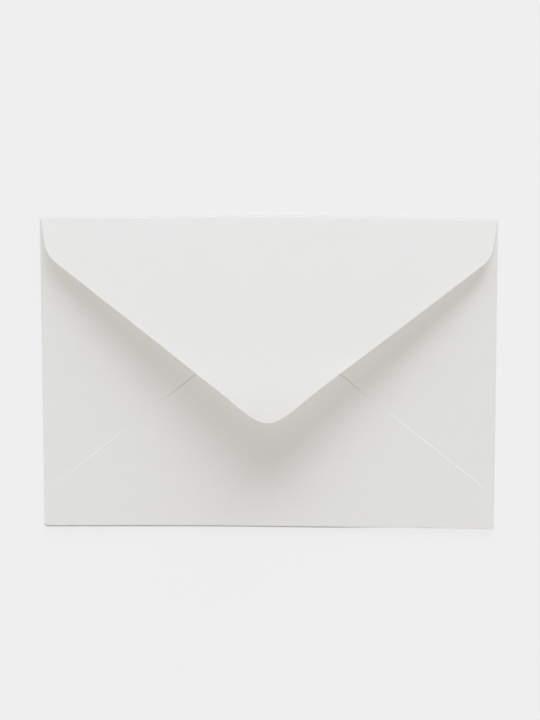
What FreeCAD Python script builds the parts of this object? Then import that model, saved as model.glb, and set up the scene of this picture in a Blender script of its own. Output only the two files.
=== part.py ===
import FreeCAD, Part
import math
import os
import Sketcher
from FreeCAD import Placement, Rotation, Vector

# A paper envelope folded from one sheet. It lies with its address side down on z = 0 and its
# flaps up, and the origin is under its middle. X runs along the long side, and +Y to the fold
# of the top flap. The layers from below are the front panel, the pocket's gap, the two side
# flaps, and the bottom flap, which is glued on them. The top flap isn't stuck down: it springs
# up from its fold and bends back a little towards its tip.

SIZES = {
    # the folded envelope from edge to edge, and its sheet
    "env_width": 176,
    "env_height": 120,
    "paper": 0.15,
    # room in the pocket between the front panel and the side flaps
    "pocket_gap": 0.4,
    # room in the top fold above the side flaps
    "top_fold_room": 0.1,
    # top flap: angle off the back at the fold, and the radius of its bend
    "top_lift": 9,
    "top_bend_radius": 860,
    # outline of the top flap as seen from above: how far its tip and its shoulders are from the
    # fold, the radii that round them, the slope of the shoulders in degrees, and how far the
    # flap starts inside each end of the fold
    "top_depth": 77.7,
    "top_shoulder_depth": 14.5,
    "top_tip_radius": 9.1,
    "top_shoulder_radius": 12,
    "top_shoulder_slope": 9.5,
    "top_inset": 0.35,
    # outline of the bottom flap
    "bottom_depth": 79,
    "bottom_shoulder_depth": 15.7,
    "bottom_tip_radius": 9.1,
    "bottom_shoulder_radius": 12,
    "bottom_shoulder_slope": 9.5,
    "bottom_inset": 0.45,
    # outline of each side flap, whose depth runs along X
    "side_depth": 71,
    "side_shoulder_depth": 3.5,
    "side_tip_radius": 12,
    "side_shoulder_radius": 3,
    "side_shoulder_slope": 20,
    "side_inset": 1.2,
    # how far a strip of paper runs past the outline that it is cut to
    "trim_margin": 2,
}

# outer radius of each fold: half of what it goes round, and the paper
SIDE_FOLD = "(Sizes.pocket_gap / 2 + Sizes.paper)"
BOTTOM_FOLD = "((Sizes.pocket_gap + Sizes.paper) / 2 + Sizes.paper)"
TOP_FOLD = "((Sizes.pocket_gap + Sizes.paper + Sizes.top_fold_room) / 2 + Sizes.paper)"

# how a sketch numbers the points of a line or arc, and its own axes and origin
START, END, CENTRE = range(1, 4)
X_AXIS, Y_AXIS = range(-1, -3, -1)
ORIGIN = (X_AXIS, START)

doc = FreeCAD.newDocument("envelope")


def make_sheet():
    sheet = doc.addObject("Spreadsheet::Sheet", "Sizes")
    for row, (name, size) in enumerate(SIZES.items(), start=1):
        sheet.set(f"A{row}", name)
        sheet.set(f"B{row}", str(size))
        sheet.setAlias(f"B{row}", name)
    doc.recompute()
    return sheet


sheet = make_sheet()


def value(expression):
    result = sheet.evalExpression(str(expression))
    return float(getattr(result, "Value", result))


def make_body(label):
    body = doc.addObject("PartDesign::Body", label)
    body.Label = label
    return body


def make_sketch(body, name, role, along_x="0", along_y="0", turn=0):
    """A sketch on an origin plane, moved along the plane's axes and turned by degrees."""
    sketch = body.newObject("Sketcher::SketchObject", name)
    plane = next(p for p in body.Origin.OriginFeatures if p.Role == role)
    sketch.AttachmentSupport = (plane, [""])
    sketch.MapMode = "FlatFace"
    sketch.AttachmentOffset = Placement(Vector(), Rotation(Vector(0, 0, 1), turn))
    sketch.setExpression("AttachmentOffset.Base.x", along_x)
    sketch.setExpression("AttachmentOffset.Base.y", along_y)
    return sketch


def line(sketch, start, end):
    return sketch.addGeometry(Part.LineSegment(Vector(*start), Vector(*end)))


def arc(sketch, centre, radius, first, last):
    """A counterclockwise arc between two angles in radians."""
    circle = Part.Circle(Vector(*centre), Vector(0, 0, 1), radius)
    return sketch.addGeometry(Part.ArcOfCircle(circle, first, last))


def tie(sketch, kind, *items):
    sketch.addConstraint(Sketcher.Constraint(kind, *items))


def size(sketch, name, kind, items, expression):
    """A named dimension bound to the sheet. Expressions give angles in degrees."""
    number = value(expression)
    if kind == "Angle":
        number = math.radians(number)
    index = sketch.addConstraint(Sketcher.Constraint(kind, *items, number))
    sketch.renameConstraint(index, name)
    sketch.setExpression(f"Constraints.{name}", expression)


def draw_outline(sketch, flap, base):
    """A flap's outline: its fold lies on the sketch's X axis and its rounded tip points down.

    Short shoulders slope in from the ends of the fold and round into two straight edges, which
    run to the tip. base is the length of the paper's edge that carries the flap.
    """
    depth = value(f"Sizes.{flap}_depth")
    shoulder_depth = value(f"Sizes.{flap}_shoulder_depth")
    slope = math.radians(value(f"Sizes.{flap}_shoulder_slope"))
    tip_radius = value(f"Sizes.{flap}_tip_radius")
    shoulder_radius = value(f"Sizes.{flap}_shoulder_radius")
    half = value(f"{base} / 2 - Sizes.{flap}_inset")
    margin = value("Sizes.trim_margin")

    # the straight edge starts at the corner of the shoulder and touches the arc of the tip
    corner = (half - shoulder_depth * math.tan(slope), -shoulder_depth)
    tip_centre = -(depth - tip_radius)
    to_tip = math.hypot(corner[0], corner[1] - tip_centre)
    edge = math.atan2(corner[1] - tip_centre, corner[0]) + math.asin(tip_radius / to_tip)
    touch = (tip_radius * math.sin(edge), tip_centre - tip_radius * math.cos(edge))
    # the shoulder's arc takes this much off each line at the corner
    cut = shoulder_radius * math.tan((math.pi / 2 - edge - slope) / 2)
    above = (corner[0] + cut * math.sin(slope), corner[1] + cut * math.cos(slope))
    below = (corner[0] - cut * math.cos(edge), corner[1] - cut * math.sin(edge))
    shoulder_x = above[0] - shoulder_radius * math.cos(slope)
    shoulder_y = above[1] + shoulder_radius * math.sin(slope)

    down = 1.5 * math.pi
    left_edge_end = down - edge
    right_edge_end = down + edge
    left_shoulder = (-shoulder_x, shoulder_y)
    right_shoulder = (shoulder_x, shoulder_y)
    top = line(sketch, (half, margin), (-half, margin))
    left_end = line(sketch, (-half, margin), (-half, 0))
    left_slope = line(sketch, (-half, 0), (-above[0], above[1]))
    left_round = arc(sketch, left_shoulder, shoulder_radius, math.pi + slope, left_edge_end)
    left_edge = line(sketch, (-below[0], below[1]), (-touch[0], touch[1]))
    tip = arc(sketch, (0, tip_centre), tip_radius, left_edge_end, right_edge_end)
    right_edge = line(sketch, touch, below)
    right_round = arc(sketch, right_shoulder, shoulder_radius, right_edge_end, 2 * math.pi - slope)
    right_slope = line(sketch, above, (half, 0))
    right_end = line(sketch, (half, 0), (half, margin))

    smooth = [left_slope, left_round, left_edge, tip, right_edge, right_round, right_slope]
    for first, second in zip(smooth, smooth[1:]):
        tie(sketch, "Tangent", first, END, second, START)
    square = [right_slope, right_end, top, left_end, left_slope]
    for first, second in zip(square, square[1:]):
        tie(sketch, "Coincident", first, END, second, START)
    tie(sketch, "Horizontal", top)
    tie(sketch, "Vertical", left_end)
    tie(sketch, "Vertical", right_end)
    tie(sketch, "PointOnObject", left_end, END, X_AXIS)
    tie(sketch, "PointOnObject", right_end, START, X_AXIS)
    tie(sketch, "PointOnObject", tip, CENTRE, Y_AXIS)
    tie(sketch, "Equal", left_round, right_round)
    half_base = f"{base} / 2 - Sizes.{flap}_inset"
    size(sketch, "left_half", "DistanceX", (left_end, END, *ORIGIN), half_base)
    size(sketch, "right_half", "DistanceX", (*ORIGIN, right_end, START), half_base)
    size(sketch, "margin", "DistanceY", (right_end, START, right_end, END), "Sizes.trim_margin")
    size(sketch, "tip_radius", "Radius", (tip,), f"Sizes.{flap}_tip_radius")
    size(sketch, "shoulder_radius", "Radius", (right_round,), f"Sizes.{flap}_shoulder_radius")
    centre_depth = f"Sizes.{flap}_depth - Sizes.{flap}_tip_radius"
    size(sketch, "centre_depth", "DistanceY", (tip, CENTRE, *ORIGIN), centre_depth)
    for side, slope_line, edge_line in ((-1, left_slope, left_edge), (1, right_slope, right_edge)):
        point = sketch.addGeometry(Part.Point(Vector(side * corner[0], corner[1])), True)
        tie(sketch, "PointOnObject", point, START, slope_line)
        tie(sketch, "PointOnObject", point, START, edge_line)
        name = "left_shoulder_depth" if side < 0 else "right_shoulder_depth"
        size(sketch, name, "DistanceY", (point, START, *ORIGIN), f"Sizes.{flap}_shoulder_depth")
    slope_angle = f"90 - Sizes.{flap}_shoulder_slope"
    size(sketch, "left_slope_angle", "Angle", (left_slope,), f"-({slope_angle})")
    size(sketch, "right_slope_angle", "Angle", (right_slope,), slope_angle)


def draw_rectangle(sketch, left, bottom, right, top):
    """A rectangle round the sketch's origin. Its sides are given by their distances from it."""
    low = (-value(left), -value(bottom))
    high = (value(right), value(top))
    corners = [low, (high[0], low[1]), high, (low[0], high[1])]
    sides = [line(sketch, a, b) for a, b in zip(corners, corners[1:] + corners[:1])]
    for first, second in zip(sides, sides[1:] + sides[:1]):
        tie(sketch, "Coincident", first, END, second, START)
    for side, kind in zip(sides, ["Horizontal", "Vertical", "Horizontal", "Vertical"]):
        tie(sketch, kind, side)
    size(sketch, "to_left", "DistanceX", (sides[0], START, *ORIGIN), left)
    size(sketch, "to_bottom", "DistanceY", (sides[0], START, *ORIGIN), bottom)
    size(sketch, "to_right", "DistanceX", (*ORIGIN, sides[2], START), right)
    size(sketch, "to_top", "DistanceY", (*ORIGIN, sides[2], START), top)


def draw_flat_section(sketch, flap, fold):
    """Section of a fold pressed flat: a half turn that starts at x = 0, then the flap above."""
    outer = value(fold)
    inner = outer - value("Sizes.paper")
    thickness = outer - inner
    reach = value(f"Sizes.{flap}_depth + Sizes.trim_margin")
    outside = arc(sketch, (outer, outer), outer, math.pi / 2, 1.5 * math.pi)
    joint = line(sketch, (outer, 0), (outer, thickness))
    inside = arc(sketch, (outer, outer), inner, math.pi / 2, 1.5 * math.pi)
    under = line(sketch, (outer, outer + inner), (reach, outer + inner))
    end = line(sketch, (reach, outer + inner), (reach, 2 * outer))
    over = line(sketch, (reach, 2 * outer), (outer, 2 * outer))
    tie(sketch, "Coincident", outside, END, joint, START)
    tie(sketch, "Coincident", joint, END, inside, END)
    tie(sketch, "Coincident", outside, CENTRE, inside, CENTRE)
    tie(sketch, "Tangent", inside, START, under, START)
    tie(sketch, "Coincident", under, END, end, START)
    tie(sketch, "Coincident", end, END, over, START)
    tie(sketch, "Tangent", over, END, outside, START)
    tie(sketch, "Vertical", outside, CENTRE, outside, END)
    tie(sketch, "Vertical", joint)
    tie(sketch, "Horizontal", under)
    tie(sketch, "Horizontal", over)
    tie(sketch, "Vertical", end)
    tie(sketch, "PointOnObject", outside, END, X_AXIS)
    size(sketch, "fold_radius", "Radius", (outside,), fold)
    size(sketch, "fold_in_x", "DistanceX", (*ORIGIN, outside, CENTRE), fold)
    size(sketch, "paper", "DistanceY", (joint, START, joint, END), "Sizes.paper")
    size(sketch, "reach", "DistanceX", (*ORIGIN, end, START), f"Sizes.{flap}_depth + Sizes.trim_margin")


def draw_raised_section(sketch, flap, fold):
    """Section of the top flap: its fold ends at x = 0, and the flap rises and bends to the left."""
    outer = value(fold)
    thickness = value("Sizes.paper")
    inner = outer - thickness
    leave = math.radians(90 - value("Sizes.top_lift"))
    bend = value("Sizes.top_bend_radius")
    reach = value(f"Sizes.{flap}_depth + Sizes.trim_margin")
    fold_centre = (-outer, outer)
    leave_at = (-outer + outer * math.cos(leave), outer + outer * math.sin(leave))
    back = bend - inner
    bend_centre = (-outer - back * math.cos(leave), outer - back * math.sin(leave))
    under_end = math.acos((-reach - bend_centre[0]) / bend)
    over_end = math.acos((-reach - bend_centre[0]) / (bend + thickness))
    under_top = bend_centre[1] + bend * math.sin(under_end)
    over_top = bend_centre[1] + (bend + thickness) * math.sin(over_end)

    outside = arc(sketch, fold_centre, outer, -math.pi / 2, leave)
    over = arc(sketch, bend_centre, bend + thickness, leave, over_end)
    end = line(sketch, (-reach, over_top), (-reach, under_top))
    under = arc(sketch, bend_centre, bend, leave, under_end)
    inside = arc(sketch, fold_centre, inner, -math.pi / 2, leave)
    joint = line(sketch, (-outer, thickness), (-outer, 0))
    lean = line(sketch, fold_centre, leave_at)
    sketch.setConstruction(lean, True)
    tie(sketch, "Tangent", outside, END, over, START)
    tie(sketch, "Coincident", over, END, end, START)
    tie(sketch, "Coincident", end, END, under, END)
    tie(sketch, "Tangent", under, START, inside, END)
    tie(sketch, "Coincident", inside, START, joint, START)
    tie(sketch, "Coincident", joint, END, outside, START)
    tie(sketch, "Coincident", inside, CENTRE, outside, CENTRE)
    tie(sketch, "Coincident", lean, START, outside, CENTRE)
    tie(sketch, "Coincident", lean, END, outside, END)
    tie(sketch, "PointOnObject", under, START, lean)
    tie(sketch, "Vertical", outside, CENTRE, outside, START)
    tie(sketch, "Vertical", joint)
    tie(sketch, "Vertical", end)
    tie(sketch, "PointOnObject", outside, START, X_AXIS)
    size(sketch, "fold_radius", "Radius", (outside,), fold)
    size(sketch, "fold_in_x", "DistanceX", (outside, CENTRE, *ORIGIN), fold)
    size(sketch, "paper", "DistanceY", (joint, END, joint, START), "Sizes.paper")
    size(sketch, "lean", "Angle", (lean,), "90 - Sizes.top_lift")
    size(sketch, "bend_under", "Radius", (under,), "Sizes.top_bend_radius")
    size(sketch, "bend_over", "Radius", (over,), "Sizes.top_bend_radius + Sizes.paper")
    size(sketch, "reach", "DistanceX", (end, START, *ORIGIN), f"Sizes.{flap}_depth + Sizes.trim_margin")


def make_front_panel():
    """The flat address side between the starts of its four folds."""
    body = make_body("front_panel")
    sketch = make_sketch(body, "panel_outline", "XY_Plane")
    half_width = f"Sizes.env_width / 2 - {SIDE_FOLD}"
    bottom = f"Sizes.env_height / 2 - {BOTTOM_FOLD}"
    top = f"Sizes.env_height / 2 - {TOP_FOLD}"
    draw_rectangle(sketch, half_width, bottom, half_width, top)
    pad = body.newObject("PartDesign::Pad", "panel_sheet")
    pad.Profile = sketch
    pad.setExpression("Length", "Sizes.paper")
    doc.recompute()
    return body


def make_flap(flap, plane, draw_section, fold, carrier, along_x="0", along_y="0", turn=0):
    """A strip of the flap's section, as long as the edge that carries it, cut to its outline.

    along_x or along_y is where that edge is, and turn is how far the flap is turned from a
    flap that hangs from its fold towards -Y.
    """
    body = make_body(f"{flap}_flap")
    edge_at = along_x if along_y == "0" else along_y
    section = make_sketch(body, f"{flap}_section", plane, along_x=edge_at)
    draw_section(section, flap, fold)
    strip = body.newObject("PartDesign::Pad", f"{flap}_strip")
    strip.Profile = section
    strip.SideType = "Symmetric"
    strip.setExpression("Length", carrier)
    doc.recompute()

    outline = make_sketch(body, f"{flap}_outline", "XY_Plane", along_x, along_y, turn)
    draw_outline(outline, flap, carrier)
    # a square well outside the outline: what lies between them is cut away
    draw_rectangle(outline, *4 * ["Sizes.env_width"])
    waste = body.newObject("PartDesign::Pocket", f"{flap}_waste")
    waste.Profile = outline
    waste.SideType = "Symmetric"
    waste.Type = "ThroughAll"
    doc.recompute()
    return body


def make_side_flap():
    """The left flap, folded over the front panel. Its lower edge lies under the bottom flap."""
    left_edge = "-Sizes.env_width / 2"
    height = "Sizes.env_height"
    return make_flap("side", "XZ_Plane", draw_flat_section, SIDE_FOLD, height, along_x=left_edge, turn=90)


def make_bottom_flap():
    """The bottom flap lies on both side flaps, and is glued where it covers them."""
    low_edge = "-Sizes.env_height / 2"
    width = "Sizes.env_width"
    fold = BOTTOM_FOLD
    return make_flap("bottom", "YZ_Plane", draw_flat_section, fold, width, along_y=low_edge, turn=180)


def make_top_flap():
    """The top flap springs up from its fold, over the tip of the bottom flap."""
    high_edge = "Sizes.env_height / 2"
    width = "Sizes.env_width"
    return make_flap("top", "YZ_Plane", draw_raised_section, TOP_FOLD, width, along_y=high_edge)


def make_envelope():
    """One solid: the panel and its four flaps are one sheet, and the seams are glued."""
    panel = make_front_panel()
    left = make_side_flap()
    bottom = make_bottom_flap()
    top = make_top_flap()
    right = doc.addObject("Part::Mirroring", "right_side_flap")
    right.Source = left
    right.Normal = Vector(1, 0, 0)
    doc.recompute()
    envelope = doc.addObject("Part::MultiFuse", "envelope")
    envelope.Shapes = [panel, left, right, bottom, top]
    envelope.Refine = True
    envelope.Label = "envelope"
    envelope.Placement = Placement(Vector(0, 0, 0), Rotation())
    doc.recompute()
    return envelope


def check_document(nodes):
    for item in doc.Objects:
        if "Invalid" in item.State or "Error" in item.State:
            raise RuntimeError(f"{item.Label} failed: {item.State}")
    for node in nodes:
        if node.Shape.isNull() or not node.Shape.isValid():
            raise RuntimeError(f"{node.Label} has no valid shape")
        if len(node.Shape.Solids) != 1:
            raise RuntimeError(f"{node.Label} has {len(node.Shape.Solids)} solids")


nodes = [make_envelope()]
check_document(nodes)
os.makedirs("parts", exist_ok=True)
for node in nodes:
    node.Shape.exportStep(os.path.join("parts", node.Label + ".step"))
    box = node.Shape.BoundBox
    print(f"{node.Label}: {box.XLength:.2f} x {box.YLength:.2f} x {box.ZLength:.2f} mm")
    print(f"{node.Label}: {node.Shape.Volume:.1f} cubic mm")
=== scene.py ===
import math

import bmesh
import bpy
from mathutils import Euler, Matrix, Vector, noise


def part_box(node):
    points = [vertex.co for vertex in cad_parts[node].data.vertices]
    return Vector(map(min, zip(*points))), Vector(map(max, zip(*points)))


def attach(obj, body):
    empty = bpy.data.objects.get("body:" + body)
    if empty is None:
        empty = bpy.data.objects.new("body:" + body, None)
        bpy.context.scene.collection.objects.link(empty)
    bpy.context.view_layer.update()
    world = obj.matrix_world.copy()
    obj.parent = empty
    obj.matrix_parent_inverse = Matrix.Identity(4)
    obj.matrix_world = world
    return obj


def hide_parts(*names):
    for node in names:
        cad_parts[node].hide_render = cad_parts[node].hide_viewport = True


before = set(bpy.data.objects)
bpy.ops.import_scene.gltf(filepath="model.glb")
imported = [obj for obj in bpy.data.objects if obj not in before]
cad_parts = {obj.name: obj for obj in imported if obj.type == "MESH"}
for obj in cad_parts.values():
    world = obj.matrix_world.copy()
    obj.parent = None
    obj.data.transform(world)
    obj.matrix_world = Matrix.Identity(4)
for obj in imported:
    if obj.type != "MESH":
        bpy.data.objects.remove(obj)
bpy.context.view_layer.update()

# A closed paper envelope that lies on its address side, seen from above. The paper is one sheet
# with a real thickness: front panel, four folds and four flaps. Lengths are in millimetres, and MM
# turns them into metres where they reach a mesh, a material or the camera.

MM = 0.001

# size of the folded envelope, from the frame
low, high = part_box("envelope")
WIDTH = (high[0] - low[0]) / MM
HEIGHT = (high[1] - low[1]) / MM

# thickness of the paper, gap of the empty pocket and extra room inside the top fold
PAPER = 0.15
POCKET_GAP = 0.4
TOP_FOLD_ROOM = 0.1

# the glue keeps the bottom flap this far off the side flaps. The flap's cut edge slants by this
# much over the paper's thickness, but for its shoulders: the slant fades in between these depths
GLUE = 0.02
EDGE_SLANT = 0.16
SLANT_FADE = (13.5, 18.5)

# the folds are creased, so the middle of the paper turns in two tight corners of this radius
CREASE = 0.085

# the top flap leaves its fold at this angle and bends back along this radius
TOP_LIFT = math.radians(9)
TOP_BEND_RADIUS = 860

# outlines of the flaps: depth, depth of the shoulder, radius of the tip, radius of the shoulder,
# slope of the shoulder and inset from the end of the fold
TOP = dict(depth=77.7, shoulder=14.5, tip=9.1, round=12, slope=math.radians(9.5), inset=0.35)
BOTTOM = dict(depth=79, shoulder=15.7, tip=9.1, round=12, slope=math.radians(9.5), inset=0.45)
SIDE = dict(depth=71, shoulder=3.5, tip=12, round=3, slope=math.radians(20), inset=0.5)

# half the height of each fold, from the layers and gaps inside it
SIDE_FOLD = POCKET_GAP / 2 + PAPER
BOTTOM_FOLD = (POCKET_GAP + PAPER + GLUE) / 2 + PAPER
TOP_FOLD = (POCKET_GAP + PAPER + TOP_FOLD_ROOM) / 2 + PAPER

# the edges of the top flap swell a little just above its tip: width, depth and reach
TIP_FULLNESS = (0.55, 72.8, 3.2)

# how finely the sheet is divided: how far apart rows and columns lie, the steps in a corner of a
# crease and over the radius of a round part, and how far in from an edge its columns lie
ROW_STEP = 1.5
COLUMN_STEP = 3.0
CREASE_STEPS = 7
ROUND_STEPS = 14
EDGE_STEPS = (0, 0.5, 1.2, 2.4)

# gentle unevenness of the paper: the bulge of the back, and the height and length of slow waves
BACK_BULGE = 0.35
WAVE_HEIGHT = 0.06
WAVE_LENGTH = 38

# the waves are full from this share of the bulge and from this depth of the top flap, and they
# are taken from these places in the noise
BACK_WAVES_FULL = 0.25
FLAP_WAVES_FULL = 15
BACK_WAVES_AT = 3.7
FLAP_WAVES_AT = 9.1

# towards its tip the top flap bends back less than its arc (extra slope, depth and reach), and
# from a depth on it curls down again (curl for each millimetre, depth)
FLAP_STRAIGHT = (0.05, 60, 11)
TIP_CURL = (0.0028, 67)

# the envelope isn't folded quite square: height, place and reach of the bows in the top and
# bottom edges, turn of the top flap to the left and right, and how far the left and right side
# lean in for each millimetre from the middle
TOP_BOW = (0.93, 20, 62)
BOTTOM_BOWS = ((0.70, -20, 75), (0.22, 55, 22))
FLAP_TURN = (0.005, 0.009)
SIDE_LEAN = (0.0045, 0.0032)

# how far the bottom bows reach into the body and the top bow into its flap, and the depths
# between which the turn of the top flap fades in, from the tip towards the fold
BOW_REACH = 8
TURN_FADE = (62, 48)


class Outline:
    """The outline of a flap: its half width at each depth below its fold.

    From the fold a sloping shoulder leads to a round corner (from above to below), and a straight
    edge leads on to where it touches the round tip.
    """

    def __init__(self, half_base, shape, full=None):
        slope = shape["slope"]
        self.full = full
        self.half_base = half_base
        self.slope = slope
        self.depth = shape["depth"]
        self.tip_radius = shape["tip"]
        self.tip_centre = self.depth - self.tip_radius
        corner = (half_base - shape["shoulder"] * math.tan(slope), shape["shoulder"])
        to_tip = math.hypot(corner[0], self.tip_centre - corner[1])
        self.edge = math.atan2(self.tip_centre - corner[1], corner[0])
        self.edge += math.asin(self.tip_radius / to_tip)
        self.touch = (
            self.tip_radius * math.sin(self.edge),
            self.tip_centre + self.tip_radius * math.cos(self.edge),
        )
        self.round = shape["round"]
        cut = self.round * math.tan((math.pi / 2 - self.edge - slope) / 2)
        self.above = (corner[0] + cut * math.sin(slope), corner[1] - cut * math.cos(slope))
        self.below = (corner[0] - cut * math.cos(self.edge), corner[1] + cut * math.sin(self.edge))
        self.round_centre = (
            self.above[0] - self.round * math.cos(slope),
            self.above[1] - self.round * math.sin(slope),
        )

    def half_width(self, depth):
        return self.plain_half_width(depth) + self.fullness(depth)

    def fullness(self, depth):
        """Extra half width just above the tip of the top flap."""
        if self.full is None:
            return 0
        reach = self.full[2]
        return hump(depth, self.full) * min(1, (self.depth - depth) / reach)

    def plain_half_width(self, depth):
        if depth <= self.above[1]:
            return self.half_base - depth * math.tan(self.slope)
        if depth <= self.below[1]:
            off = depth - self.round_centre[1]
            return self.round_centre[0] + math.sqrt(max(self.round**2 - off**2, 0))
        if depth <= self.touch[1]:
            return self.below[0] - (depth - self.below[1]) / math.tan(self.edge)
        off = min(depth - self.tip_centre, self.tip_radius)
        return math.sqrt(self.tip_radius**2 - off**2)

    def outward(self, depth):
        """Unit step out of the flap at its edge, as (across, along)."""
        step = 0.01
        along = min(depth, self.depth - 2 * step)
        narrows = (self.plain_half_width(along) - self.plain_half_width(along + step)) / step
        return 1 / math.hypot(1, narrows), narrows / math.hypot(1, narrows)

    def rows(self):
        """Depths from the fold to just short of the tip, closer together at the round parts."""
        depths = spaced(0, self.above[1], ROW_STEP)
        depths += spaced(self.above[1], self.below[1], self.round / ROUND_STEPS)[1:]
        depths += spaced(self.below[1], self.touch[1], ROW_STEP)[1:]
        first = math.pi / 2 - self.edge
        for k in range(1, ROUND_STEPS):
            turn = first + (math.pi / 2 - first) * k / ROUND_STEPS
            depths.append(self.tip_centre + self.tip_radius * math.sin(turn))
        return depths


def spaced(start, end, step):
    """Even values from start to end, no further apart than step."""
    count = max(1, math.ceil((end - start) / step))
    return [start + (end - start) * k / count for k in range(count + 1)]


def across(half_base):
    """Places of the columns as (share of the half width, distance in from the edge)."""
    inner = half_base - EDGE_STEPS[-1]
    shares = [x / inner for x in spaced(-inner, inner, COLUMN_STEP)]
    columns = [(-1, step) for step in EDGE_STEPS[:-1]]
    columns += [(share, EDGE_STEPS[-1]) for share in shares]
    columns += [(1, step) for step in reversed(EDGE_STEPS[:-1])]
    return columns


def column_at(column, half_width):
    """Where a column lies on a row of that half width. Near the tip the edge steps shrink."""
    share, step = column
    squeeze = min(1, half_width / (2 * EDGE_STEPS[-1]))
    return share * (half_width - step * squeeze)


def fade(value, ends):
    """Goes smoothly from 0 at the first end to 1 at the second."""
    share = (value - ends[0]) / (ends[1] - ends[0])
    share = min(1.0, max(0.0, share))
    return share * share * (3 - 2 * share)


def hump(x, shape):
    """A smooth rise of that height at that place, with that reach to both sides."""
    most, centre, reach = shape
    return most * math.exp(-(((x - centre) / reach) ** 2))


def turned(x, sides):
    """Drift that grows to either side of the middle: up on the left and down on the right."""
    return -x * (sides[0] if x < 0 else sides[1])


def side_drift(x, y):
    """How far the sides lean in: the left one at the bottom and the right one at the top."""
    if x > 0:
        return -SIDE_LEAN[1] * x * (0.5 + y / HEIGHT)
    return -SIDE_LEAN[0] * x * (0.5 - y / HEIGHT)


def body_place(x, y):
    """Where a point of the flat layers lies in the envelope that isn't quite square."""
    share = 0.5 + y / HEIGHT
    top = hump(x, TOP_BOW) + turned(x, FLAP_TURN)
    near = math.exp(-(((y + HEIGHT / 2) / BOW_REACH) ** 2))
    bottom = sum(hump(x, bow) for bow in BOTTOM_BOWS)
    return x + side_drift(x, y), y + top * share + bottom * near


def flap_place(x, y):
    """The same for the top flap, which follows the bow of its fold only near it."""
    depth = HEIGHT / 2 - y
    near = math.exp(-((depth / BOW_REACH) ** 2))
    along = turned(x, FLAP_TURN) * fade(depth, TURN_FADE)
    top = hump(x, TOP_BOW) + turned(x, FLAP_TURN)
    return x + side_drift(x, y), y + top * near + along * (1 - near)


def back_unevenness(x, y):
    """Height that the layers of the back rise above the flat, zero along the folds."""
    along = max(0.0, 1 - (2 * x / WIDTH) ** 2)
    up = max(0.0, 1 - (2 * y / HEIGHT) ** 2)
    wave = noise.noise(Vector((x / WAVE_LENGTH, y / WAVE_LENGTH, BACK_WAVES_AT)))
    grown = min(1, along * up / BACK_WAVES_FULL)
    return BACK_BULGE * along * up + WAVE_HEIGHT * wave * grown


def flap_unevenness(x, depth):
    """Rise of the top flap above its even bend, with slow waves, zero at its fold."""
    slope, centre, reach = FLAP_STRAIGHT
    rise = slope * reach * math.sqrt(math.pi) / 2 * (1 + math.erf((depth - centre) / reach))
    curl = TIP_CURL[0] * max(0, depth - TIP_CURL[1]) ** 2 / 2
    wave = noise.noise(Vector((x / WAVE_LENGTH, depth / WAVE_LENGTH, FLAP_WAVES_AT)))
    return rise - curl + WAVE_HEIGHT * wave * min(1, depth / FLAP_WAVES_FULL)


def top_flap_height(x, depth):
    """Height of the top flap's middle surface: the large arc and the unevenness on it."""
    bend = TOP_BEND_RADIUS + PAPER / 2
    below_fold = bend - (TOP_FOLD - PAPER / 2)
    arc_depth = TOP_FOLD + below_fold * math.sin(TOP_LIFT)
    arc_height = TOP_FOLD - below_fold * math.cos(TOP_LIFT)
    on_arc = arc_height + math.sqrt(bend**2 - (arc_depth - depth) ** 2)
    return on_arc + flap_unevenness(x, depth)


def fold_path(radius, lift=0.0):
    """Points (outward, up) round a creased fold, from one layer to the next.

    radius is half the distance between the two layers' middles, and lift the angle at which the
    second one leaves the fold.
    """
    run = radius - CREASE
    last = run * (1 - math.sin(lift)) / math.cos(lift)
    rise = radius + run * math.cos(lift) - last * math.sin(lift)
    path = [(run, 0.0)]
    for k in range(1, CREASE_STEPS + 1):
        turn = math.pi / 2 * k / CREASE_STEPS
        path.append((run + CREASE * math.sin(turn), CREASE - CREASE * math.cos(turn)))
    for k in range(CREASE_STEPS + 1):
        turn = (math.pi / 2 - lift) * k / CREASE_STEPS
        path.append((run + CREASE * math.cos(turn), rise + CREASE * math.sin(turn)))
    path.append((radius * math.sin(lift), radius + radius * math.cos(lift)))
    return path


def fold_rows(path, start_half, end_half):
    """The points of a fold's path, each with the half width there, which goes from start to end."""
    for k, (outward, up) in enumerate(path, 1):
        yield outward, up, start_half + (end_half - start_half) * k / len(path)


class Sheet:
    """Collects the points and faces of the folded sheet's middle surface."""

    def __init__(self):
        self.points = []
        self.faces = []
        self.slants = {}

    def point(self, x, y, z, place=body_place):
        self.points.append((*place(x, y), z))
        return len(self.points) - 1

    def slant(self, index, outward):
        """Marks a point of a cut edge that slants, with the way out of the sheet there."""
        self.slants[index] = (*outward, self.points[index][2])

    def join(self, first, second):
        """Faces between two rows of points."""
        for a, b, c, d in zip(first, first[1:], second[1:], second):
            self.faces.append((a, b, c, d))

    def fan(self, row, tip):
        """Faces from a row of points to one point."""
        for a, b in zip(row, row[1:]):
            self.faces.append((a, b, tip))


def add_panel(sheet):
    """The front panel. Returns its rows of points, from the bottom to the top."""
    half = WIDTH / 2 - SIDE_FOLD
    low_end = -(HEIGHT / 2 - BOTTOM_FOLD)
    high_end = HEIGHT / 2 - TOP_FOLD
    side_half = HEIGHT / 2 - SIDE["inset"]
    columns = across(half)
    levels = [column_at(c, side_half) for c in across(side_half)]
    rows = []
    for y in [low_end] + levels + [high_end]:
        rows.append([sheet.point(column_at(c, half), y, PAPER / 2) for c in columns])
    for first, second in zip(rows, rows[1:]):
        sheet.join(first, second)
    return rows


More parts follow.
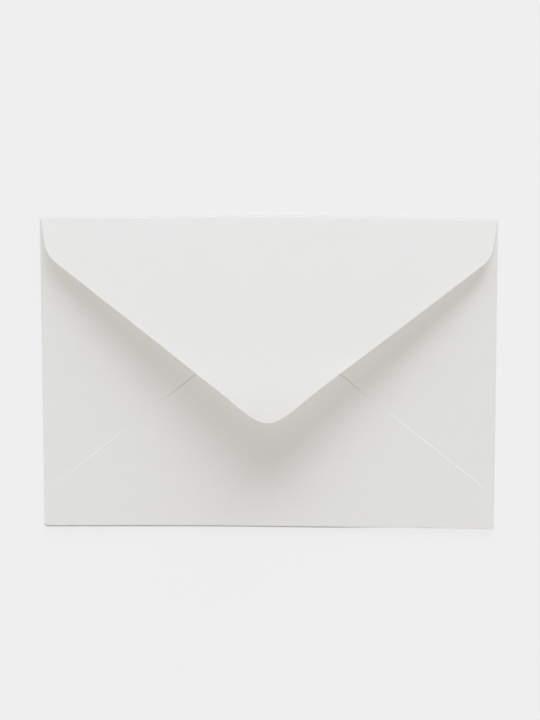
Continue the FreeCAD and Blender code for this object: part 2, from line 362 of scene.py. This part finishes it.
def add_top_flap(sheet, row, columns, outline, start_half):
    """The top flap: round its fold, then up and away, bent back along a large arc."""
    path = fold_path(TOP_FOLD - PAPER / 2, TOP_LIFT)
    for outward, up, half in fold_rows(path, start_half, outline.half_base):
        y = HEIGHT / 2 - TOP_FOLD + outward
        z = PAPER / 2 + up
        new = [sheet.point(column_at(c, half), y, z, flap_place) for c in columns]
        sheet.join(row, new)
        row = new
    for depth in outline.rows():
        if depth <= TOP_FOLD:
            continue
        y = HEIGHT / 2 - depth
        half = outline.half_width(depth)
        new = []
        for column in columns:
            x = column_at(column, half)
            new.append(sheet.point(x, y, top_flap_height(x, depth), flap_place))
        sheet.join(row, new)
        row = new
    tip_height = top_flap_height(0, outline.depth)
    sheet.fan(row, sheet.point(0, HEIGHT / 2 - outline.depth, tip_height, flap_place))


def add_flat_flap(sheet, row, columns, outline, start_half, fold, place, slanted=False):
    """A flap that is folded flat. place takes (across, depth, height) and gives (x, y, z)."""
    path = fold_path(fold - PAPER / 2)
    for outward, up, half in fold_rows(path, start_half, outline.half_base):
        new = []
        for column in columns:
            at = place(column_at(column, half), fold - outward, PAPER / 2 + up)
            new.append(sheet.point(*at))
        sheet.join(row, new)
        row = new
    level = 2 * fold - PAPER / 2
    for depth in outline.rows():
        if depth <= fold:
            continue
        half = outline.half_width(depth)
        new = []
        for column in columns:
            x, y, z = place(column_at(column, half), depth, level)
            new.append(sheet.point(x, y, z + back_unevenness(x, y)))
        if slanted:
            out_x, out_y = [way * fade(depth, SLANT_FADE) for way in outline.outward(depth)]
            sheet.slant(new[0], (out_x, out_y))
            sheet.slant(new[-1], (-out_x, out_y))
        sheet.join(row, new)
        row = new
    x, y, z = place(0, outline.depth, level)
    sheet.fan(row, sheet.point(x, y, z + back_unevenness(x, y)))


def on_bottom_flap(across_flap, depth, z):
    """Where a point of the bottom flap lies, from its place across the flap and its depth."""
    return -across_flap, depth - HEIGHT / 2, z


def on_left_flap(across_flap, depth, z):
    """The same for the left flap."""
    return depth - WIDTH / 2, across_flap, z


def on_right_flap(across_flap, depth, z):
    """The same for the right flap."""
    return WIDTH / 2 - depth, -across_flap, z


def build_sheet():
    """The front panel and the flaps on its four sides, each from the panel's own edge points."""
    sheet = Sheet()
    rows = add_panel(sheet)
    half = WIDTH / 2 - SIDE_FOLD
    columns = across(half)
    top = Outline(WIDTH / 2 - TOP["inset"], TOP, TIP_FULLNESS)
    add_top_flap(sheet, rows[-1], columns, top, half)
    bottom = Outline(WIDTH / 2 - BOTTOM["inset"], BOTTOM)
    edge = rows[0][::-1]
    add_flat_flap(sheet, edge, columns, bottom, half, BOTTOM_FOLD, on_bottom_flap, slanted=True)

    side_half = HEIGHT / 2 - SIDE["inset"]
    columns = across(side_half)
    side = Outline(side_half, SIDE)
    edge = [row[0] for row in rows[1:-1]]
    add_flat_flap(sheet, edge, columns, side, side_half, SIDE_FOLD, on_left_flap)
    edge = [row[-1] for row in rows[-2:0:-1]]
    add_flat_flap(sheet, edge, columns, side, side_half, SIDE_FOLD, on_right_flap)
    return sheet


# edges that turn by more than this stay sharp in the light
SHARP_ANGLE = math.radians(25)


def mesh_object(name, sheet):
    """The middle surface as a mesh, with the slants of its cut edges as marks on its points."""
    mesh = bpy.data.meshes.new(name)
    mesh.from_pydata([[c * MM for c in p] for p in sheet.points], [], sheet.faces)
    slants = mesh.attributes.new("slant", "FLOAT_VECTOR", "POINT")
    for index, slant in sheet.slants.items():
        slants.data[index].vector = slant
    obj = bpy.data.objects.new(name, mesh)
    bpy.context.scene.collection.objects.link(obj)
    work = bmesh.new()
    work.from_mesh(mesh)
    bmesh.ops.recalc_face_normals(work, faces=work.faces)
    work.to_mesh(mesh)
    work.free()
    return obj


def give_thickness(obj):
    """Turns the middle surface into a closed sheet as thick as the paper."""
    solid = obj.modifiers.new("paper", "SOLIDIFY")
    solid.thickness = PAPER * MM
    solid.offset = 0
    solid.use_even_offset = True
    depsgraph = bpy.context.evaluated_depsgraph_get()
    mesh = bpy.data.meshes.new_from_object(obj.evaluated_get(depsgraph))
    obj.modifiers.clear()
    old = obj.data
    obj.data = mesh
    bpy.data.meshes.remove(old)
    mesh.name = obj.name
    slant_edges(mesh)
    mesh.shade_smooth()
    mesh.set_sharp_from_angle(angle=SHARP_ANGLE)


def slant_edges(mesh):
    """Slants the marked cut edges: the upper side draws in and the lower side reaches out."""
    marks = [tuple(mark.vector) for mark in mesh.attributes["slant"].data]
    for vertex, (out_x, out_y, middle) in zip(mesh.vertices, marks):
        side = -1 if vertex.co.z > middle * MM else 1
        vertex.co.x += side * out_x * EDGE_SLANT / 2 * MM
        vertex.co.y += side * out_y * EDGE_SLANT / 2 * MM
    mesh.attributes.remove(mesh.attributes["slant"])


def node(tree, kind, x, y, **settings):
    """A new node at that place of the tree's layout, with its settings."""
    made = tree.nodes.new(kind)
    made.location = (x, y)
    for name, value in settings.items():
        setattr(made, name, value)
    return made


def calculate(tree, operation, first, second, x, y, clamp=False):
    """A maths node. Each of its two inputs is another node's output or a plain number."""
    made = node(tree, "ShaderNodeMath", x, y, operation=operation, use_clamp=clamp)
    for place, value in enumerate((first, second)):
        if isinstance(value, (int, float)):
            made.inputs[place].default_value = value
        else:
            tree.links.new(value, made.inputs[place])
    return made.outputs["Value"]


# the paper: its darker and its lighter tone, and scale and detail of the clouds between them and
# of the fine tooth. Between these two values the tooth changes the tone by up to this share, up
# or down, and it is this deep
PAPER_TONES = ((0.765, 0.768, 0.752), (0.787, 0.790, 0.776))
CLOUDS = (160, 4)
TOOTH = (2600, 3)
TOOTH_RANGE = (0.3, 0.7)
TOOTH_TONE = 0.015
TOOTH_DEPTH = 0.03

# the colour and the share of the light that the paper lets through
LET_THROUGH = (0.93, 0.72, 0.56)
THROUGH_SHARE = 0.14


def noise_texture(tree, place, pattern, x, y):
    """Noise of that scale and detail, as a value about one half."""
    scale, detail = pattern
    made = node(tree, "ShaderNodeTexNoise", x, y)
    made.inputs["Scale"].default_value = scale
    made.inputs["Detail"].default_value = detail
    tree.links.new(place, made.inputs["Vector"])
    return made.outputs["Fac"]


def paper_material():
    """Smooth uncoated paper: cloudy formation, fine tooth, and some light let through."""
    material = bpy.data.materials.new("white_paper")
    material.use_nodes = True
    tree = material.node_tree
    tree.nodes.clear()
    link = tree.links.new
    place = node(tree, "ShaderNodeTexCoord", -1200, 0).outputs["Object"]
    clouds = noise_texture(tree, place, CLOUDS, -900, 250)
    tooth = noise_texture(tree, place, TOOTH, -900, -50)

    tone = node(tree, "ShaderNodeMix", -600, 250, data_type="RGBA")
    tone.inputs["A"].default_value = (*PAPER_TONES[0], 1)
    tone.inputs["B"].default_value = (*PAPER_TONES[1], 1)
    link(clouds, tone.inputs["Factor"])
    grain = node(tree, "ShaderNodeMapRange", -600, 0)
    grain.inputs["From Min"].default_value = TOOTH_RANGE[0]
    grain.inputs["From Max"].default_value = TOOTH_RANGE[1]
    grain.inputs["To Min"].default_value = 1 - TOOTH_TONE
    grain.inputs["To Max"].default_value = 1 + TOOTH_TONE
    link(tooth, grain.inputs["Value"])
    colour = node(tree, "ShaderNodeVectorMath", -350, 200, operation="SCALE")
    link(tone.outputs["Result"], colour.inputs[0])
    link(grain.outputs["Result"], colour.inputs["Scale"])

    bump = node(tree, "ShaderNodeBump", -350, -150)
    bump.inputs["Strength"].default_value = 0.25
    bump.inputs["Distance"].default_value = TOOTH_DEPTH * MM
    link(tooth, bump.inputs["Height"])

    surface = node(tree, "ShaderNodeBsdfPrincipled", 0, 200)
    surface.inputs["Roughness"].default_value = 0.88
    surface.inputs["IOR"].default_value = 1.42
    surface.inputs["Specular IOR Level"].default_value = 0.3
    link(colour.outputs["Vector"], surface.inputs["Base Color"])
    link(bump.outputs["Normal"], surface.inputs["Normal"])
    through = node(tree, "ShaderNodeBsdfTranslucent", 0, -250)
    through.inputs["Color"].default_value = (*LET_THROUGH, 1)
    blend = node(tree, "ShaderNodeMixShader", 300, 100)
    blend.inputs["Fac"].default_value = THROUGH_SHARE
    link(surface.outputs["BSDF"], blend.inputs[1])
    link(through.outputs["BSDF"], blend.inputs[2])
    out = node(tree, "ShaderNodeOutputMaterial", 500, 100)
    link(blend.outputs["Shader"], out.inputs["Surface"])
    return material


# the floor: how far it reaches, how far it lies below the paper, its colour in the light, the
# colour of the photo's background, and the share of that plain colour where the floor is seen
FLOOR_REACH = 3000
FLOOR_DROP = 0.02
FLOOR_LIT = (0.809, 0.809, 0.815)
FLOOR_SEEN = (0.863, 0.863, 0.863)
FLOOR_PLAIN = 0.82

# the painted contact shadow, shade painted into the floor's plain colour before the bottom edge:
# how far inside the plain bottom edge it may start, how dark and how wide it is, and the places
# along the edge between which it fades to this share towards the right
CONTACT_START = 0.8
CONTACT_DEPTH = 3.2
CONTACT_REACH = 0.8
CONTACT_FADE = (18, 50)
CONTACT_RIGHT = 0.2


def background_rays(tree):
    """1 for the rays that show a background: camera, glossy and clear ones, but no diffuse ray."""
    rays = node(tree, "ShaderNodeLightPath", -1100, 450).outputs
    total = rays["Is Camera Ray"]
    for x, ray in ((-900, "Is Glossy Ray"), (-700, "Is Transmission Ray")):
        total = calculate(tree, "ADD", total, rays[ray], x, 450, clamp=True)
    return calculate(tree, "SUBTRACT", total, rays["Is Diffuse Ray"], -500, 450, clamp=True)


def painted_contact_shadow(tree):
    """1 on the open floor, less where a thin contact shadow is painted before the bottom edge."""
    place = node(tree, "ShaderNodeTexCoord", -1700, -200)
    parts = node(tree, "ShaderNodeSeparateXYZ", -1500, -200)
    tree.links.new(place.outputs["Object"], parts.inputs["Vector"])
    edge = -(HEIGHT / 2 - CONTACT_START) * MM
    before = calculate(tree, "LESS_THAN", parts.outputs["Y"], edge, -1300, -350)
    along = node(tree, "ShaderNodeMapRange", -1300, -100, interpolation_type="SMOOTHSTEP")
    tree.links.new(parts.outputs["X"], along.inputs["Value"])
    along.inputs["From Min"].default_value = CONTACT_FADE[0] * MM
    along.inputs["From Max"].default_value = CONTACT_FADE[1] * MM
    along.inputs["To Min"].default_value = CONTACT_DEPTH
    along.inputs["To Max"].default_value = CONTACT_DEPTH * CONTACT_RIGHT
    open_sky = node(tree, "ShaderNodeAmbientOcclusion", -1300, 150)
    open_sky.inputs["Distance"].default_value = CONTACT_REACH * MM
    hidden = calculate(tree, "SUBTRACT", 1, open_sky.outputs["AO"], -1100, 150)
    depth = calculate(tree, "MULTIPLY", along.outputs["Result"], before, -1100, -150)
    dark = calculate(tree, "MULTIPLY", hidden, depth, -900, 0)
    return calculate(tree, "SUBTRACT", 1, dark, -700, 0, clamp=True)


def floor_material():
    """A plain pale floor that keeps part of the shadow where seen, with a painted contact shadow.
    """
    material = bpy.data.materials.new("pale_floor")
    material.use_nodes = True
    tree = material.node_tree
    tree.nodes.clear()
    link = tree.links.new
    lit = node(tree, "ShaderNodeBsdfDiffuse", -300, 100)
    lit.inputs["Color"].default_value = (*FLOOR_LIT, 1)
    plain = node(tree, "ShaderNodeEmission", -300, -50)
    plain.inputs["Color"].default_value = (*FLOOR_SEEN, 1)
    # painted shade: the contact shadow darkens the plain colour before the bottom edge
    link(painted_contact_shadow(tree), plain.inputs["Strength"])
    softened = node(tree, "ShaderNodeMixShader", -100, 0)
    softened.inputs["Fac"].default_value = FLOOR_PLAIN
    link(lit.outputs["BSDF"], softened.inputs[1])
    link(plain.outputs["Emission"], softened.inputs[2])
    seen = node(tree, "ShaderNodeMixShader", 100, 100)
    link(background_rays(tree), seen.inputs["Fac"])
    link(lit.outputs["BSDF"], seen.inputs[1])
    link(softened.outputs["Shader"], seen.inputs[2])
    out = node(tree, "ShaderNodeOutputMaterial", 300, 100)
    link(seen.outputs["Shader"], out.inputs["Surface"])
    return material


def add_floor():
    mesh = bpy.data.meshes.new("floor")
    reach = FLOOR_REACH * MM
    corners = ((-reach, -reach), (reach, -reach), (reach, reach), (-reach, reach))
    mesh.from_pydata([(x, y, -FLOOR_DROP * MM) for x, y in corners], [], [(0, 1, 2, 3)])
    floor = bpy.data.objects.new("floor", mesh)
    bpy.context.scene.collection.objects.link(floor)
    floor.data.materials.append(floor_material())


# each light: name, elevation above the table, azimuth from +X, width across the sky, strength
# and colour. A broad cool window low behind the top edge, and a warmer soft light over the front.
WINDOW_COLOUR = (0.93, 1.0, 1.07)
ROOM_COLOUR = (1.03, 1.0, 0.968)
LIGHTS = (
    ("window_low", 7, 76, 14, 0.76, WINDOW_COLOUR),
    ("window_right", 13, 72, 16, 1.38, WINDOW_COLOUR),
    ("window_middle", 15, 90, 16, 1.05, WINDOW_COLOUR),
    ("window_left", 14, 110, 16, 0.59, WINDOW_COLOUR),
    ("window_high", 25, 90, 18, 0.29, WINDOW_COLOUR),
    ("room_high", 75, 270, 30, 0.58, ROOM_COLOUR),
    ("room_front", 55, 268, 24, 2.07, ROOM_COLOUR),
)


def add_lights():
    for name, elevation, azimuth, spread, strength, colour in LIGHTS:
        lamp = bpy.data.lights.new(name, "SUN")
        lamp.energy = strength
        lamp.angle = math.radians(spread)
        lamp.color = colour
        obj = bpy.data.objects.new(name, lamp)
        turns = (90 - elevation, 0, azimuth + 90)
        obj.rotation_euler = Euler([math.radians(a) for a in turns], "XYZ")
        bpy.context.scene.collection.objects.link(obj)


# strength of the even light, and of the backdrop that is seen in its place
WORLD_LEVEL = 0.05
WORLD_SEEN = 0.863


def add_world():
    """A faint even light that is seen as a pale backdrop."""
    world = bpy.data.worlds.new("studio")
    bpy.context.scene.world = world
    world.use_nodes = True
    tree = world.node_tree
    tree.nodes.clear()
    link = tree.links.new
    light = node(tree, "ShaderNodeBackground", -300, 100)
    light.inputs["Color"].default_value = (1, 1, 1, 1)
    light.inputs["Strength"].default_value = WORLD_LEVEL
    backdrop = node(tree, "ShaderNodeBackground", -300, -50)
    backdrop.inputs["Color"].default_value = (1, 1, 1, 1)
    backdrop.inputs["Strength"].default_value = WORLD_SEEN
    seen = node(tree, "ShaderNodeMixShader", 0, 100)
    link(background_rays(tree), seen.inputs["Fac"])
    link(light.outputs["Background"], seen.inputs[1])
    link(backdrop.outputs["Background"], seen.inputs[2])
    out = node(tree, "ShaderNodeOutputWorld", 200, 100)
    link(seen.outputs["Shader"], out.inputs["Surface"])


# the camera stands 400 mm above the table, a little towards the top edge, and tilts to match.
# The focus is the lens's focal length in pixels of the picture, whose long side is given.
CAMERA_AT = (8.73, 32.38, 400)
CAMERA_TILT = (-3.827, 1.157, 0.115)
CAMERA_RANGE = (10, 20000)
CAMERA_FOCUS = 1035.4
LONG_SIDE_PIXELS = 720
SENSOR = 36


def add_camera():
    data = bpy.data.cameras.new("camera")
    data.sensor_width = SENSOR
    data.lens = SENSOR * CAMERA_FOCUS / LONG_SIDE_PIXELS
    data.clip_start = CAMERA_RANGE[0] * MM
    data.clip_end = CAMERA_RANGE[1] * MM
    camera = bpy.data.objects.new("camera", data)
    camera.location = [c * MM for c in CAMERA_AT]
    camera.rotation_euler = Euler([math.radians(a) for a in CAMERA_TILT], "XYZ")
    bpy.context.scene.collection.objects.link(camera)
    bpy.context.scene.camera = camera


add_camera()
add_lights()
add_world()
add_floor()
paper = mesh_object("envelope_paper", build_sheet())
give_thickness(paper)
paper.data.materials.append(paper_material())
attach(paper, "root")
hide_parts("envelope")

bpy.context.scene.view_settings.view_transform = "Standard"
